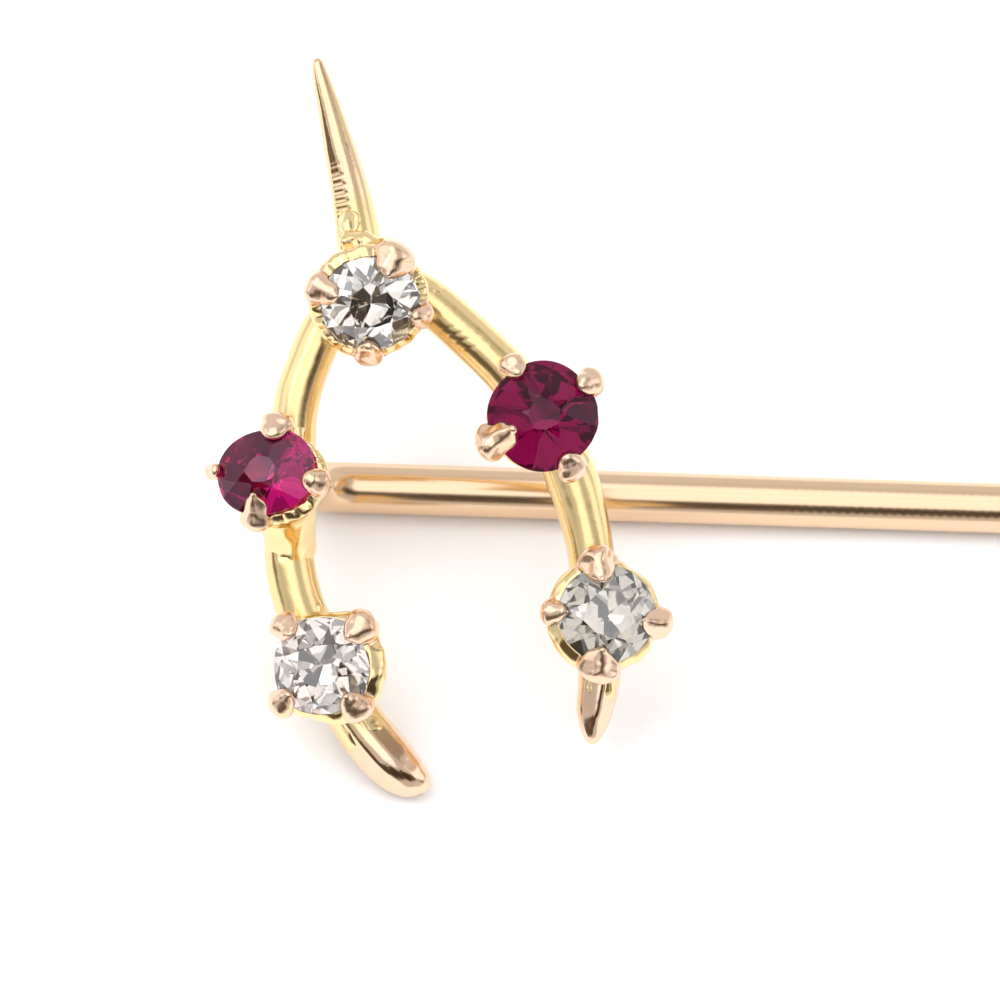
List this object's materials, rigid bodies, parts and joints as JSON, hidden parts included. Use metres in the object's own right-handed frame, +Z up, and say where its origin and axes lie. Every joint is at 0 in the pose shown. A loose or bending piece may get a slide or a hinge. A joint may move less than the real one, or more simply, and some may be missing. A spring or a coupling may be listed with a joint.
{
  "type": "stick pin",
  "caption": "Gold stick pin for a necktie or lapel: a wishbone set with small cut stones, soldered to a straight tapered stem, lying flat.",
  "frame": {"origin": "under the middle of the whole pin, on the surface it lies on", "axes": "+X along the stem to its point, +Y across towards the wishbone's tail, +Z up"},
  "size_m": [0.062, 0.0156, 0.0079],
  "materials": {
    "gold": "worn polish",
    "diamond": "cut and polished",
    "ruby": "cut and polished"
  },
  "bodies": {
    "root": {"gold_mount": "gold", "apex_diamond": "diamond", "left_ruby": "ruby", "right_ruby": "ruby", "lower_left_diamond": "diamond", "lower_right_diamond": "diamond"}
  },
  "joints": []
}
